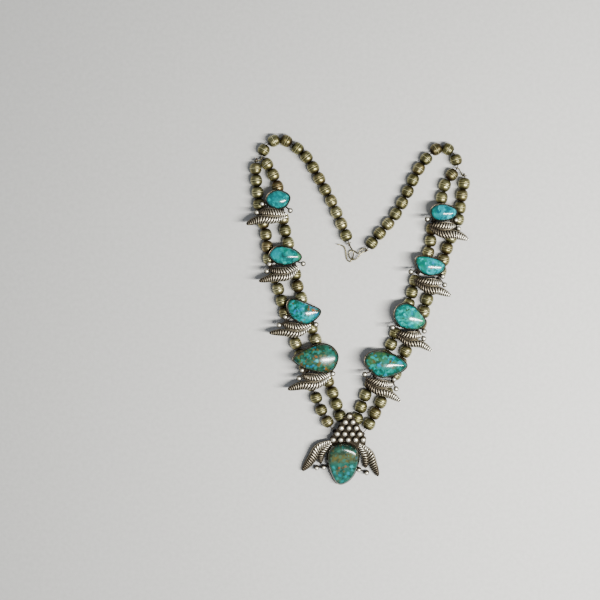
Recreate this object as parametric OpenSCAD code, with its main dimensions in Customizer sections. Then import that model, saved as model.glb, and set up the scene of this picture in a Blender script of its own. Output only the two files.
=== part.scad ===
// Turquoise necklace, lying face up: hollow silver beads on threads, eight leaf stations
// and a pendant, each with a turquoise cabochon, and a hook and eye. Millimetres, +Z up,
// origin under the middle of the whole outline, on the surface that it lies on.

/* [Beads] */
// Diameter of a bead across its seam
bead_d = 8.6; // [8.2:0.1:8.8]
// Length of a bead along the thread
bead_l = 7.8; // [7.4:0.1:7.9]
// Diameter of the hole through a bead
bore_d = 1.8; // [1.6:0.1:2.2]
// Height of the seam ridge over the domes
seam_rise = 0.3; // [0.2:0.05:0.4]
// Width of the seam ridge
seam_w = 0.8; // [0.6:0.1:1.2]

/* [Thread and wire] */
// Diameter of the thread
thread_d = 0.8; // [0.6:0.1:1]
// Diameter of the hook's and the eye's wire
clasp_wire_d = 1; // [0.8:0.1:1.1]
// Diameter of the wire of the small rings and links
link_wire_d = 0.8; // [0.6:0.1:0.9]
// Radius of a small ring, to the middle of its wire
ring_r = 1.2; // [1.1:0.05:1.4]

/* [Settings] */
// Thickness of a back plate
plate_t = 0.8; // [0.6:0.1:1]
// Height of a bezel, from the underside of its plate
bezel_h = 3.2; // [2.8:0.1:3.6]
// Wall of a bezel
bezel_t = 0.6; // [0.5:0.05:0.8]
// Height of a station's stone
stone_h = 5.4; // [4:0.1:6.5]
// Height of the pendant's stone
pendant_stone_h = 6.4; // [5:0.1:7.5]
// Clearance between a stone and its setting
stone_gap = 0.12; // [0.1:0.02:0.2]
// Diameter of a station's raindrops
drop_d = 3.6; // [3.2:0.1:4]
// Diameter of the pendant's raindrops
big_drop_d = 4.2; // [3.8:0.1:4.4]
// Height of a leaf's underside over the underside of the plate
leaf_base = 0.2; // [0.1:0.05:0.3]
// Height of a leaf's edge
leaf_edge = 0.9; // [0.7:0.1:1.2]
// Height of a leaf's crown over its edge
leaf_crown = 1.1; // [0.7:0.1:1.6]
// Height of a round lobe over the long lobe beside it
round_lift = 0.15; // [0.1:0.05:0.3]
// Height of a leaf's cross ribs
rib_rise = 0.35; // [0.2:0.05:0.5]
// Distance from one cross rib to the next
rib_pitch = 1.9; // [1.8:0.1:2.6]
// Outer diameter of a hidden shank
shank_d = 3.2; // [3:0.1:3.6]
// Length of a hidden shank
shank_l = 4.2; // [3.8:0.1:4.4]

/* [Pendant] */
// Tilt of the pendant, from its tip on the surface to its top over the beads
pendant_tilt = 11; // [10:0.5:12]
// Distance between the raindrops of the pendant's triangle
cluster_pitch = 5.2; // [4.8:0.1:5.4]
// Distance between the rows of the triangle
cluster_row = 4.27; // [4.2:0.05:4.5]

/* [Hidden] */
$fn = 48;

silver = "#a9a389";
old_silver = "#8d8768";
turquoise = "#3fb3b5";
thread_colour = "#5a5040";

strand_z = bead_d / 2;
// Clearance between the beads and the plates over them
plate_room = 0.4;
plate_z = bead_d + plate_room;
// Height of a lobe's middle over its shoulders
lobe_round = 0.12;
thread_r = thread_d / 2;
// Thread kept free at a shank and at a ring
tube_room = shank_l + 0.6;
ring_room = 2.4;
// Straight thread beyond each end of a bead
straight_end = 0.12;
// Width of the back plate's arms to the raindrops
strip_w = 2;

// Middle of the whole outline, in the coordinates of the tables below: x, y
outline_middle = [0.7, -0.6];

// Routes of the strands, from the links or from the clasp's side of a link. A row of two
// is a point of the route: x, y. A row of four is a stop: x, y, beads since the last stop,
// and the length of thread that is kept free for the ring or the shank there.
neck_left = [
  [-67, 106, 0, ring_room + 0.4],
  [-67, 111.5],
  [-59.5, 118],
  [-54.5, 120],
  [-49.5, 118],
  [-45.5, 115.5, 3, 0],
  [-35.5, 107],
  [-26.5, 91],
  [-18, 75.5],
  [-7.5, 51],
  [-6, 46.5, 9, ring_room]
];
neck_right = [
  [69.9, 98.9, 0, ring_room],
  [70, 105],
  [64, 112.5],
  [59, 114.5],
  [54, 112],
  [51, 109, 3, 0],
  [42.5, 98],
  [35, 82],
  [26.5, 66],
  [14.5, 52],
  [6.5, 42, 9, ring_room]
];
inner_left = [
  [-67, 106, 0, ring_room],
  [-62.5, 101.5],
  [-56, 87],
  [-53, 70.5, 4, tube_room],
  [-50.5, 55],
  [-44.5, 31.5, 4, tube_room],
  [-42, 16.5],
  [-34, -6.5, 4, tube_room],
  [-29, -21.5],
  [-23, -44, 4, tube_room],
  [-17, -58.5],
  [-10, -81, 4, tube_room]
];
inner_right = [
  [69.9, 98.9, 0, ring_room],
  [66, 94],
  [60, 86.5],
  [59.5, 77.5],
  [53.5, 63, 4, tube_room],
  [51, 49],
  [50.5, 41],
  [42.6, 26.6, 4, tube_room],
  [38, 12],
  [36.5, 4],
  [29, -10, 4, tube_room],
  [24, -24],
  [12.5, -46, 4, tube_room],
  [5.5, -60],
  [-2.4, -83, 4, tube_room]
];
outer_left = [
  [-71, 104, 0, ring_room],
  [-71.5, 99.5],
  [-70, 82.5],
  [-68, 67, 4, tube_room],
  [-64, 54],
  [-62.5, 36.5],
  [-60.5, 29, 4, tube_room],
  [-55, 13.5],
  [-49, -9, 4, tube_room],
  [-43, -24],
  [-34.5, -46.5, 4, tube_room],
  [-29, -61.5],
  [-22, -77.3],
  [-15.2, -85.9, 4, 2 * tube_room]
];
outer_right = [
  [75, 93.6, 0, ring_room],
  [75.5, 89],
  [73, 80],
  [71, 63.5],
  [68.5, 56.5, 4, tube_room],
  [62.5, 42.5],
  [58.5, 27],
  [56, 20.5, 4, tube_room],
  [48.5, 6.5],
  [45.5, -8],
  [41.5, -16, 4, tube_room],
  [34, -29],
  [24, -51.5, 4, tube_room],
  [15.8, -65.7],
  [8.8, -79.8],
  [3, -87.8, 4, 2 * tube_room]
];

// Where the threads cross from side to side behind the pendant: x, y
main_bridge = [[-9, -84.3], [-3.4, -86.3]];
outer_bridge = [[-12.6, -88.4], [-0.4, -90.2]];

// Outlines of the stones about their own middles, anticlockwise from the right: x, y
stone_outlines = [
  [[8, 1], [5.6, 4.4], [-0.5, 6.2], [-6, 4], [-8.4, -0.3], [-5.8, -4.4], [0.5, -6.3], [5.5, -4.2]],
  [[11, 0], [8.2, 3.7], [3, 6.3], [-4.5, 7.4], [-9, 5], [-11, 1], [-7, -3.6], [0.5, -5.4], [8, -3]],
  [[11.6, 0.5], [3.5, 4.6], [-4, 7.7], [-9, 7.8], [-11.3, 4], [-9, -3], [-3.5, -7.4], [3, -8.8],
    [9.5, -4.6]],
  [[15, 1], [11.5, 8], [4, 10.6], [-4.5, 8.3], [-12, 4.3], [-16.1, 0], [-9.5, -5.4], [1, -8.6],
    [10.5, -8.2]],
  [[9.1, 0], [7, 3], [1, 5.3], [-5, 5], [-8.5, 2.5], [-8.2, -1.8], [-5, -5], [2, -5.3], [7, -3.3]],
  [[9.8, -1], [7.5, 3], [0, 5.6], [-7.5, 6.7], [-10.4, 4.5], [-9.6, 0], [-6, -4.8], [0, -6.4],
    [7, -5]],
  [[10.8, -4], [7.6, 1.4], [2.5, 6.7], [-3, 8.8], [-8.5, 6.8], [-10.9, 1], [-8.4, -5.5], [-2, -8.6],
    [6.5, -8.6]],
  [[14.4, -1], [9.5, 4.4], [0, 8.4], [-8, 9.1], [-13.5, 6], [-14.4, 0.5], [-9, -6], [-2, -8.9],
    [8.5, -6.3]]
];
pendant_outline = [[10.9, 5], [8.5, 11.7], [0, 14.8], [-8, 12.8], [-11.2, 5], [-9, -5.5],
  [-5, -13.2], [-1, -14.7], [4.5, -11.6], [8.8, -4.9]];

// Stations: x and y of the stone's middle, and its height beside the others'
stations = [
  [-55.5, 76.5, 0],
  [-50.5, 36.5, 0],
  [-38, -1, 0.3],
  [-29, -34.5, 0.6],
  [59.5, 67.5, -0.3],
  [50.5, 30.5, 0],
  [36, -4.5, 0.3],
  [19.5, -38, 0.5]
];

// Leaf lobes of the stations, two to each, about the stone's middle: x and y at the stem, at
// one or two points on the way and at the tip, and the widest half-width. The long lobe is
// pointed.
long_lobes = [
  [6.2, -11.7, -3, -14, -13, -13.9, -22.2, -17.1, 3.05],
  [9.4, -7.6, 1.8, -13.6, -9, -14.5, -18.4, -16.8, 2.85],
  [5, -11.4, -3.3, -15.9, -14, -14.9, -23.7, -15.3, 2.6],
  [9.8, -12.3, 0.5, -18.1, -10.5, -18.4, -19.8, -21.1, 3],
  [-9.8, -9.8, -1.8, -14.4, 8.5, -15.2, 17.4, -18.8, 3.25],
  [-11, -11.2, -2.8, -16.2, 5.8, -17.3, 14.2, -20.9, 3],
  [-9, -13, -1.5, -18.5, 7.5, -19.4, 15.4, -24.3, 2.65],
  [-14.3, -11.6, -8, -18, 1.5, -20.4, 10.1, -25.8, 2.85]
];
round_lobes = [
  [6, -10.1, -3.5, -8.9, -12.8, -8.7, 2.9],
  [9.4, -6.4, 0, -9.7, -10.5, -9.2, 2.7],
  [5.3, -9.8, -4.5, -11.2, -14.5, -9, 2.8],
  [9.4, -10.9, 0, -13.1, -10, -11.7, 3.1],
  [-9.6, -8.8, 0, -9.3, 8.4, -9.5, 2.9],
  [-11, -9.8, -1.4, -11.3, 8, -12, 2.8],
  [-8.9, -11.8, -0.4, -13.6, 8.7, -13.2, 3],
  [-14.2, -10, -4.4, -13.6, 4.9, -14.2, 3.1]
];

// Raindrops of the stations, three to each, about the stone's middle: x, y
drops = [
  [[8.4, -7.6], [-11, -3.2], [-14.8, -9]],
  [[12.4, -4.6], [-11, -4.9], [-12.8, -9.8]],
  [[8.8, -9.4], [-12.5, -4.2], [-16.7, -9.8]],
  [[11.5, -10.1], [-9.8, -7.7], [-11.9, -13.3]],
  [[-11.2, -4.6], [8.7, -5.3], [10.5, -11.2]],
  [[-13.6, -4.2], [8.4, -7.4], [9.8, -13.3]],
  [[-11.9, -8], [10.1, -10.5], [9.8, -15.7]],
  [[-14.7, -7], [5.6, -10.5], [7, -17.1]]
];

// The pendant, in its own tilted plane: x and y from the tip, and the lobes' columns as above
pendant_at = [-10, -123];
pendant_stone_at = [0, 15.9];
pendant_long_lobes = [
  [-8.6, 31.8, -17.6, 27.3, -22.3, 18.8, -28.5, 10.2, 3.3],
  [11.2, 29.8, 18.5, 23.2, 21.4, 14.4, 24.7, 6.2, 2.75]
];
pendant_round_lobes = [
  [-8.6, 30, -15.1, 23, -16, 15.4, 2.4],
  [11, 28.6, 15.2, 20.8, 15.6, 12.2, 2.4]
];
// Lower raindrops of the pendant: x, y
pendant_drops = [[-18.6, 12.6], [-13.7, 12.9], [10.9, 11.2], [16.5, 9]];
cluster_top = [4.1, 50.5];

// Half-widths along a lobe, from the stem at 0 to the tip at 1, as shares of the widest
pointed_lobe = [[0, 0.2], [0.05, 0.4], [0.12, 0.54], [0.24, 0.76], [0.38, 0.92], [0.52, 0.99],
  [0.66, 1], [0.78, 0.9], [0.88, 0.66], [0.95, 0.38], [1, 0.1]];
rounded_lobe = [[0, 0.2], [0.05, 0.4], [0.12, 0.56], [0.26, 0.78], [0.42, 0.94], [0.6, 1],
  [0.78, 0.95], [0.9, 0.72], [0.97, 0.42], [1, 0.16]];

// Wire of the hook and of the eye, from the ring at the thread's end: x, y, z
hook_wire = [
  [-6, 46.6, 3.1],
  [-5.4, 45, 2.7],
  [-4.3, 43, 3.4],
  [-2.9, 40.5, 3.6],
  [-2.8, 38, 2.6],
  [-3.4, 35.8, 1],
  [-4.9, 33.7, 0.7],
  [-7, 35, 0.7],
  [-7.8, 38, 0.8],
  [-8.2, 41.5, 1],
  [-9.2, 44, 1.2],
  [-11.5, 45.2, 1.3],
  [-14, 45.8, 1.6]
];
eye_wire = [
  [6.97, 41.63, 3.26],
  [5.5, 40.7, 2.4],
  [3.2, 39.8, 2.5],
  [1, 37.4, 2.5],
  [-1, 35.4, 2.3],
  [-3.2, 34.9, 2.2],
  [-4.7, 35.9, 2.1],
  [-5.8, 37.8, 2],
  [-5.8, 39.8, 1.9],
  [-4.6, 41.2, 1.8],
  [-2.9, 41.3, 1.9],
  [-1.3, 40.6, 2.1],
  [-0.2, 39.5, 2.3],
  [0.9, 39.6, 2.5],
  [1.7, 41.2, 2.6],
  [3.3, 42.3, 2.6],
  [4.8, 42.8, 2.6],
  [6.03, 42.37, 3.26]
];

// Geometry helpers
function lerp(a, b, t) = a + (b - a) * t;
function unit(v) = v / norm(v);
function xy(p) = [p[0], p[1]];
function wrap(i, n) = (i + n) % n;

// Catmull-Rom curve between b and c, with their neighbours a and d
function spline(a, b, c, d, t) =
  0.5 * (2 * b + (c - a) * t + (2 * a - 5 * b + 4 * c - d) * t * t
    + (3 * b - a - 3 * c + d) * t * t * t);

function open_curve(p, steps) = let (n = len(p))
  [for (i = [0:n - 2], k = [0:steps - 1])
      spline(p[max(i - 1, 0)], p[i], p[i + 1], p[min(i + 2, n - 1)], k / steps), p[n - 1]];

function closed_curve(p, steps) = let (n = len(p))
  [for (i = [0:n - 1], k = [0:steps - 1])
      spline(p[wrap(i - 1, n)], p[i], p[wrap(i + 1, n)], p[wrap(i + 2, n)], k / steps)];

// A closed outline moved outwards by d
function grown(p, d) = let (n = len(p))
  [for (i = [0:n - 1]) let (
      before = unit(p[i] - p[wrap(i - 1, n)]),
      after = unit(p[wrap(i + 1, n)] - p[i]),
      mean = unit(before + after))
      p[i] + d / max(mean * after, 0.5) * [mean[1], -mean[0]]];

// Length along a list of points, up to each of them
function lengths(p, i = 0, sum = 0, out = []) =
  i == len(p) ? out :
  let (s = i == 0 ? 0 : sum + norm(p[i] - p[i - 1])) lengths(p, i + 1, s, concat(out, [s]));

// Place and direction at length s along a list of points
function at_length(p, run, s) = let (
  i = max([for (k = [0:len(p) - 2]) run[k] <= s ? k : 0]),
  t = (s - run[i]) / (run[i + 1] - run[i]))
  [lerp(p[i], p[i + 1], t), unit(p[i + 1] - p[i])];

// Beads and stops of a strand in their order, each [place, direction, half-length, is a bead]
route_steps = 6;
function strand_places(route) = let (
  curve = open_curve([for (row = route) xy(row)], route_steps),
  run = lengths(curve),
  stops = [for (i = [0:len(route) - 1]) if (len(route[i]) > 2)
    [run[i * route_steps], route[i][2], route[i][3] / 2]])
  [for (i = [1:len(stops) - 1]) let (
      from = stops[i - 1][0] + stops[i - 1][2],
      to = stops[i][0] - stops[i][2],
      n = stops[i][1],
      pitch = (to - from) / n,
      stop = at_length(curve, run, min(stops[i][0], run[len(run) - 1] - 0.01)))
      each concat(
        [for (k = [0:n - 1]) let (s = from + pitch * (k + 0.5),
            rear = at_length(curve, run, s - bead_l / 2),
            front = at_length(curve, run, s + bead_l / 2))
            [(rear[0] + front[0]) / 2, unit(front[0] - rear[0]), bead_l / 2, true]],
        [[stop[0], stop[1], shank_l / 2, false]])];

function shanks_of(route) = [for (p = strand_places(route)) if (!p[3]) p];

// Thread points through the beads and the shanks of a strand
function through(places) = [for (p = places) each
  [p[0] - p[1] * (p[2] + straight_end), p[0] + p[1] * (p[2] + straight_end)]];

function reversed(p) = [for (i = [len(p) - 1:-1:0]) p[i]];
function on_strand(p) = [for (q = p) [q[0], q[1], strand_z]];
function beads_of(places) = [for (p = places) if (p[3]) p];

// A tube of round section along points, closed at both ends, with a radius at each point
module tube_along(p, radii, sides) {
  n = len(p);
  rings = [for (i = [0:n - 1]) let (
      along = unit(p[min(i + 1, n - 1)] - p[max(i - 1, 0)]),
      side = unit(cross([0, 0, 1], along)),
      up = cross(along, side))
      each [for (k = [0:sides - 1]) p[i] + radii[i]
        * (cos(360 * k / sides) * side + sin(360 * k / sides) * up)]];
  polyhedron(rings, concat(
    [[for (k = [0:sides - 1]) k]],
    [for (i = [0:n - 2], k = [0:sides - 1]) [i * sides + k, (i + 1) * sides + k,
        (i + 1) * sides + (k + 1) % sides, i * sides + (k + 1) % sides]],
    [[for (k = [sides - 1:-1:0]) (n - 1) * sides + k]]));
}

// Closed rings of points joined from the first to the last, with flat ends
module lofted(rings) {
  n = len(rings);
  m = len(rings[0]);
  polyhedron([for (r = rings) each r], concat(
    [[for (k = [0:m - 1]) k]],
    [for (i = [0:n - 2], k = [0:m - 1]) each [
        [i * m + k, (i + 1) * m + (k + 1) % m, i * m + (k + 1) % m],
        [i * m + k, (i + 1) * m + k, (i + 1) * m + (k + 1) % m]]],
    [[for (k = [m - 1:-1:0]) (n - 1) * m + k]]));
}

// Lays a piece that stands along +Z along a direction in the plane, at a place
module along_strand(place, direction) {
  translate([place[0], place[1], strand_z])
    rotate([0, 90, atan2(direction[1], direction[0])]) children();
}

// One bead along Z: two domes that meet in a raised seam, drilled through
module bead() {
  dome_r = bead_d / 2 - seam_rise;
  collar_r = bore_d / 2 + 0.5;
  half = bead_l / 2;
  flat = seam_w / 2;
  arc_steps = 6;
  turn = acos(collar_r / dome_r);
  dome = [for (k = [0:arc_steps]) let (a = turn * k / arc_steps)
      [dome_r * cos(a), flat + (half - flat) * sin(a) / sin(turn)]];
  rotate_extrude() polygon(concat(
    [[bore_d / 2, -half]],
    [for (k = [arc_steps:-1:0]) [dome[k][0], -dome[k][1]]],
    [[bead_d / 2, -flat / 2], [bead_d / 2, flat / 2]],
    dome,
    [[bore_d / 2, half]]));
}

module bead_string(route) {
  color(old_silver) for (p = beads_of(strand_places(route))) along_strand(p[0], p[1]) bead();
}

// A thread with a knot at each end
module thread(p) {
  n = len(p);
  knot_r = thread_d * 1.15;
  first = unit(p[0] - p[1]);
  last = unit(p[n - 1] - p[n - 2]);
  ends = [0.6, 1.25, 1.85, 2.15];
  end_radii = [thread_r, knot_r, knot_r, thread_r];
  color(thread_colour) tube_along(
    concat(
      [for (k = [3:-1:0]) p[0] + first * ends[k]],
      p,
      [for (k = [0:3]) p[n - 1] + last * ends[k]]),
    concat(
      [for (k = [3:-1:0]) end_radii[k]],
      [for (q = p) thread_r],
      [for (k = [0:3]) end_radii[k]]),
    6);
}

// A small ring of wire that stands round the strand
module ring(place, direction) {
  along_strand(place, direction)
    rotate_extrude() translate([ring_r, 0]) circle(d = link_wire_d, $fn = 16);
}

// A straight wire between two points
module wire_between(a, b, d) {
  v = b - a;
  translate(a) rotate([0, acos(v[2] / norm(v)), atan2(v[1], v[0])])
    cylinder(d = d, h = norm(v), $fn = 16);
}

// A link of two rings, joined by a wire from rim to rim
module link(inner, inner_turn, outer, outer_turn) {
  inner_rim = inner + ring_r * [-sin(inner_turn), cos(inner_turn)];
  outer_rim = outer + ring_r * [-sin(outer_turn), cos(outer_turn)];
  color(silver) {
    ring(inner, [cos(inner_turn), sin(inner_turn)]);
    ring(outer, [cos(outer_turn), sin(outer_turn)]);
    wire_between([inner_rim[0], inner_rim[1], strand_z], [outer_rim[0], outer_rim[1], strand_z],
      link_wire_d);
  }
}

module bent_wire(p, d) {
  curve = open_curve(p, 3);
  tube_along(curve, [for (q = curve) d / 2], 6);
}

// A leaf lobe: a crowned strip with ribs from edge to edge, from the stem to the tip. The
// long lobe lies a little lower than the round one, where they overlap.
module lobe(row, widths, lift = 0) {
  last = len(row) - 1;
  axis = open_curve([for (k = [0:2:last - 2]) [row[k], row[k + 1]]], 12);
  run = lengths(axis);
  length = run[len(run) - 1];
  ribs = round(length / rib_pitch);
  cuts = 2 * ribs;
  // length over which the lobe's direction is taken, to each side
  reach = 0.6;
  rings = [for (i = [0:cuts]) let (
      t = i / cuts,
      s = t * length,
      mid = at_length(axis, run, s)[0],
      along = unit(at_length(axis, run, min(s + reach, length))[0]
        - at_length(axis, run, max(s - reach, 0))[0]),
      across = [-along[1], along[0]],
      share = lookup(t, widths),
      w = row[last] * share,
      top = leaf_edge + leaf_crown * share,
      rise = i % 2 == 0 ? 0 : rib_rise,
      section = [[-1, leaf_base], [1, leaf_base], [1, leaf_edge], [0.6, top + rise],
        [0, top + rise + lobe_round], [-0.6, top + rise], [-1, leaf_edge]])
      [for (s = section) [mid[0] + across[0] * w * s[0], mid[1] + across[1] * w * s[0], s[1] + lift]]];
  lofted(rings);
}

// A raindrop of solder on a plate
module drop(place, d) {
  translate([place[0], place[1], plate_t + d * 0.35]) sphere(d = d, $fn = 32);
}

// A strip of the back plate from one place to another
module plate_strip(from, to, w) {
  v = to - from;
  translate([from[0], from[1], 0]) rotate(atan2(v[1], v[0]))
    translate([0, -w / 2, 0]) cube([norm(v) + w / 3, w, plate_t]);
}

// A hidden shank round the strand, with a post up to height h
module shank(place, direction, h) {
  difference() {
    union() {
      along_strand(place, direction) cylinder(d = shank_d, h = shank_l, center = true);
      translate([place[0], place[1], strand_z])
        cylinder(d = shank_d * 0.6, h = h - strand_z);
    }
    along_strand(place, direction) cylinder(d = bore_d, h = shank_l + 1, center = true);
  }
}

outline_steps = 4;
function stone_outline(i) = closed_curve(stone_outlines[i], outline_steps);

// Plate and bezel round an outline, before the stone's pocket is cut
module seat(outline) {
  linear_extrude(bezel_h) polygon(grown(outline, bezel_t + stone_gap));
}

// Pocket of a stone over the plate, open at the top
module pocket(outline) {
  translate([0, 0, plate_t]) linear_extrude(bezel_h + stone_h) polygon(grown(outline, stone_gap));
}

// A cabochon over an outline: a short wall and a domed top
module cabochon(outline, h) {
  // share of the outline, share of the height
  sections = [[1, 0], [1, 0.34], [0.96, 0.56], [0.84, 0.78], [0.6, 0.94], [0.3, 1]];
  lofted([for (s = sections) [for (p = outline) [p[0] * s[0], p[1] * s[0], h * s[1]]]]);
}

// The shanks of station i on the inner and the outer strand
function station_shanks(i) = let (side = floor(i / 4), k = i % 4)
  [shanks_of(side == 0 ? inner_left : inner_right)[k],
    shanks_of(side == 0 ? outer_left : outer_right)[k]];

module setting(i) {
  at = stations[i];
  outline = stone_outline(i);
  color(silver) {
    translate([at[0], at[1], plate_z]) difference() {
      union() {
        seat(outline);
        lobe(long_lobes[i], pointed_lobe);
        lobe(round_lobes[i], rounded_lobe, round_lift);
        for (d = drops[i]) {
          drop(d, drop_d);
          plate_strip([0, 0], d, strip_w);
        }
      }
      pocket(outline);
    }
    for (s = station_shanks(i)) shank(s[0], s[1], plate_z + plate_t / 2);
  }
}

module stone(i) {
  at = stations[i];
  color(turquoise) translate([at[0], at[1], plate_z + plate_t + stone_gap])
    cabochon(stone_outline(i), stone_h + at[2]);
}

// Lays a piece of the pendant in its tilted plane
module on_pendant() {
  translate([pendant_at[0], pendant_at[1], 0]) rotate([pendant_tilt, 0, 0]) children();
}

cluster = [for (row = [0:4], k = [0:row])
    [cluster_top[0] - 0.2 * row + (k - row / 2) * cluster_pitch, cluster_top[1] - row * cluster_row]];

module cluster_plate() {
  edge = 1.6;
  left = cluster[10];
  right = cluster[14];
  linear_extrude(plate_t) polygon([
    cluster[0] + [-edge, edge],
    left + [-edge - 0.6, 0],
    left + [-edge, -7],
    right + [edge, -7],
    right + [edge + 0.6, 0],
    cluster[0] + [edge, edge]]);
}

module pendant_setting() {
  outline = [for (p = closed_curve(pendant_outline, outline_steps)) p + pendant_stone_at];
  color(silver) {
    on_pendant() difference() {
      union() {
        seat(outline);
        cluster_plate();
        for (row = pendant_long_lobes) lobe(row, pointed_lobe);
        for (row = pendant_round_lobes) lobe(row, rounded_lobe, round_lift);
        for (c = cluster) drop(c, big_drop_d);
        for (d = pendant_drops) {
          drop(d, drop_d);
          plate_strip(pendant_stone_at, d, strip_w);
        }
      }
      pocket(outline);
    }
    for (route = [inner_left, inner_right, outer_left, outer_right]) {
      s = shanks_of(route)[4];
      slope = tan(pendant_tilt);
      shank(s[0], s[1], (s[0][1] - pendant_at[1]) * slope + plate_t / 2);
    }
  }
}

module pendant_stone() {
  color(turquoise) on_pendant()
    translate([pendant_stone_at[0], pendant_stone_at[1], plate_t + stone_gap])
    cabochon(closed_curve(pendant_outline, outline_steps), pendant_stone_h);
}

function strand_beads(route) = beads_of(strand_places(route));

module main_thread() {
  left_neck = strand_beads(neck_left);
  right_neck = strand_beads(neck_right);
  thread(on_strand(concat(
    [xy(neck_left[len(neck_left) - 1])],
    reversed(through(left_neck)),
    [xy(neck_left[0])],
    through(strand_places(inner_left)),
    main_bridge,
    reversed(through(strand_places(inner_right))),
    [xy(neck_right[0])],
    through(right_neck),
    [xy(neck_right[len(neck_right) - 1])])));
}

module outer_thread() {
  thread(on_strand(concat(
    [xy(outer_left[0])],
    through(strand_places(outer_left)),
    outer_bridge,
    reversed(through(strand_places(outer_right))),
    [xy(outer_right[0])])));
}

module link_left() link([-67, 106], 141, [-71, 104], 270);
module link_right() link([69.9, 98.9], 251, [75, 93.6], 92);

module clasp_hook() {
  color(silver) {
    ring([-6, 46.5], [0.3, -0.95]);
    bent_wire(hook_wire, clasp_wire_d);
  }
}

module clasp_eye() {
  color(silver) {
    ring([6.5, 42], [-0.62, -0.78]);
    bent_wire(eye_wire, clasp_wire_d);
  }
}

// Moves a piece so that the middle of the whole outline is the origin
module centred() {
  translate([-outline_middle[0], -outline_middle[1], 0]) children();
}

centred() bead_string(neck_left);  // neck_beads_left
centred() bead_string(neck_right);  // neck_beads_right
centred() bead_string(inner_left);  // inner_beads_left
centred() bead_string(inner_right);  // inner_beads_right
centred() bead_string(outer_left);  // outer_beads_left
centred() bead_string(outer_right);  // outer_beads_right
centred() main_thread();
centred() outer_thread();
centred() link_left();
centred() link_right();
centred() clasp_hook();
centred() clasp_eye();
centred() setting(0);  // setting_1
centred() setting(1);  // setting_2
centred() setting(2);  // setting_3
centred() setting(3);  // setting_4
centred() setting(4);  // setting_5
centred() setting(5);  // setting_6
centred() setting(6);  // setting_7
centred() setting(7);  // setting_8
centred() stone(0);  // stone_1
centred() stone(1);  // stone_2
centred() stone(2);  // stone_3
centred() stone(3);  // stone_4
centred() stone(4);  // stone_5
centred() stone(5);  // stone_6
centred() stone(6);  // stone_7
centred() stone(7);  // stone_8
centred() pendant_setting();
centred() pendant_stone();
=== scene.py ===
import bisect
import functools
import math
import random

import bmesh
import bpy
import numpy as np
from mathutils import Matrix, Vector, noise


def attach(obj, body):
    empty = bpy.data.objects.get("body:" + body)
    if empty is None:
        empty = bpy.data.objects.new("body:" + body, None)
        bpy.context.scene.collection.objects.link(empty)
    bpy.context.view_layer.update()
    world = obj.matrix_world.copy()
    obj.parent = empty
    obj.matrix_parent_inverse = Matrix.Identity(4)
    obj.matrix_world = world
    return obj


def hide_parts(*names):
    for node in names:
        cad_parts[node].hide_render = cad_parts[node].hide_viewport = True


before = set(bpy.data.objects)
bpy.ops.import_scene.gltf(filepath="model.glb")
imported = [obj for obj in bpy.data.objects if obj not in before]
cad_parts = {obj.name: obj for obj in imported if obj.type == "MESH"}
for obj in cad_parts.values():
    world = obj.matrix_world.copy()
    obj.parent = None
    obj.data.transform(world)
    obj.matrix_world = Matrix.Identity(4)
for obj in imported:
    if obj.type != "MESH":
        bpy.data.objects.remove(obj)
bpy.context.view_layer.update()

# Pieces are shaped in millimetres, in the coordinates of the part's own tables, whose
# middle is the frame's origin.
OUTLINE_MIDDLE = Vector((0.7, -0.6, 0.0))
TO_FRAME = Matrix.Scale(0.001, 4) @ Matrix.Translation(-OUTLINE_MIDDLE)
TO_TABLES = TO_FRAME.inverted()

STRAND_Z = 4.3
PLATE_Z = 9.0
PLATE_T = 0.8
BEZEL_H = 3.2
STONE_GAP = 0.12
THREAD_D = 0.8
CLASP_WIRE_R = 0.5
LINK_WIRE_R = 0.4
RING_R = 1.2
DROP_D = 3.3
BIG_DROP_D = 4.2
ARM_W = 0.9
PENDANT_TILT = math.radians(11)

# Stations 1 to 8: x and y of the stone's middle
STATIONS = [(-55.5, 76.5), (-50.5, 36.5), (-38, -1), (-29, -34.5),
            (59.5, 67.5), (50.5, 30.5), (36, -4.5), (19.5, -38)]

# Leaf lobes about the stone's middle: x and y at the stem, at one or two points on the way
# and at the tip, and then the widest half-width
LONG_LOBES = [
    (6.2, -11.7, -3, -14, -13, -13.9, -22.2, -17.1, 3.05),
    (9.4, -7.6, 1.8, -13.6, -9, -14.5, -18.4, -16.8, 2.85),
    (5, -11.4, -3.3, -15.9, -14, -14.9, -23.7, -15.3, 2.6),
    (9.8, -12.3, 0.5, -18.1, -10.5, -18.4, -19.8, -21.1, 3),
    (-9.8, -9.8, -1.8, -14.4, 8.5, -15.2, 17.4, -18.8, 3.25),
    (-11, -11.2, -2.8, -16.2, 5.8, -17.3, 14.2, -20.9, 3),
    (-9, -13, -1.5, -18.5, 7.5, -19.4, 15.4, -24.3, 2.65),
    (-14.3, -11.6, -8, -18, 1.5, -20.4, 10.1, -25.8, 2.85)]
ROUND_LOBES = [
    (6, -10.1, -3.5, -8.9, -12.8, -8.7, 2.9), (9.4, -6.4, 0, -9.7, -10.5, -9.2, 2.7),
    (5.3, -9.8, -4.5, -11.2, -14.5, -9, 2.8), (9.4, -10.9, 0, -13.1, -10, -11.7, 3.1),
    (-9.6, -8.8, 0, -9.3, 8.4, -9.5, 2.9), (-11, -9.8, -1.4, -11.3, 8, -12, 2.8),
    (-8.9, -11.8, -0.4, -13.6, 8.7, -13.2, 3), (-14.2, -10, -4.4, -13.6, 4.9, -14.2, 3.1)]
PENDANT_LONG_LOBES = [(-8.6, 31.8, -17.6, 27.3, -22.3, 18.8, -28.5, 10.2, 3.3),
                      (11.2, 29.8, 18.5, 23.2, 21.4, 14.4, 24.7, 6.2, 2.75)]
PENDANT_ROUND_LOBES = [(-8.6, 30, -15.1, 23, -16, 15.4, 2.4),
                       (11, 28.6, 15.2, 20.8, 15.6, 12.2, 2.4)]
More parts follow.
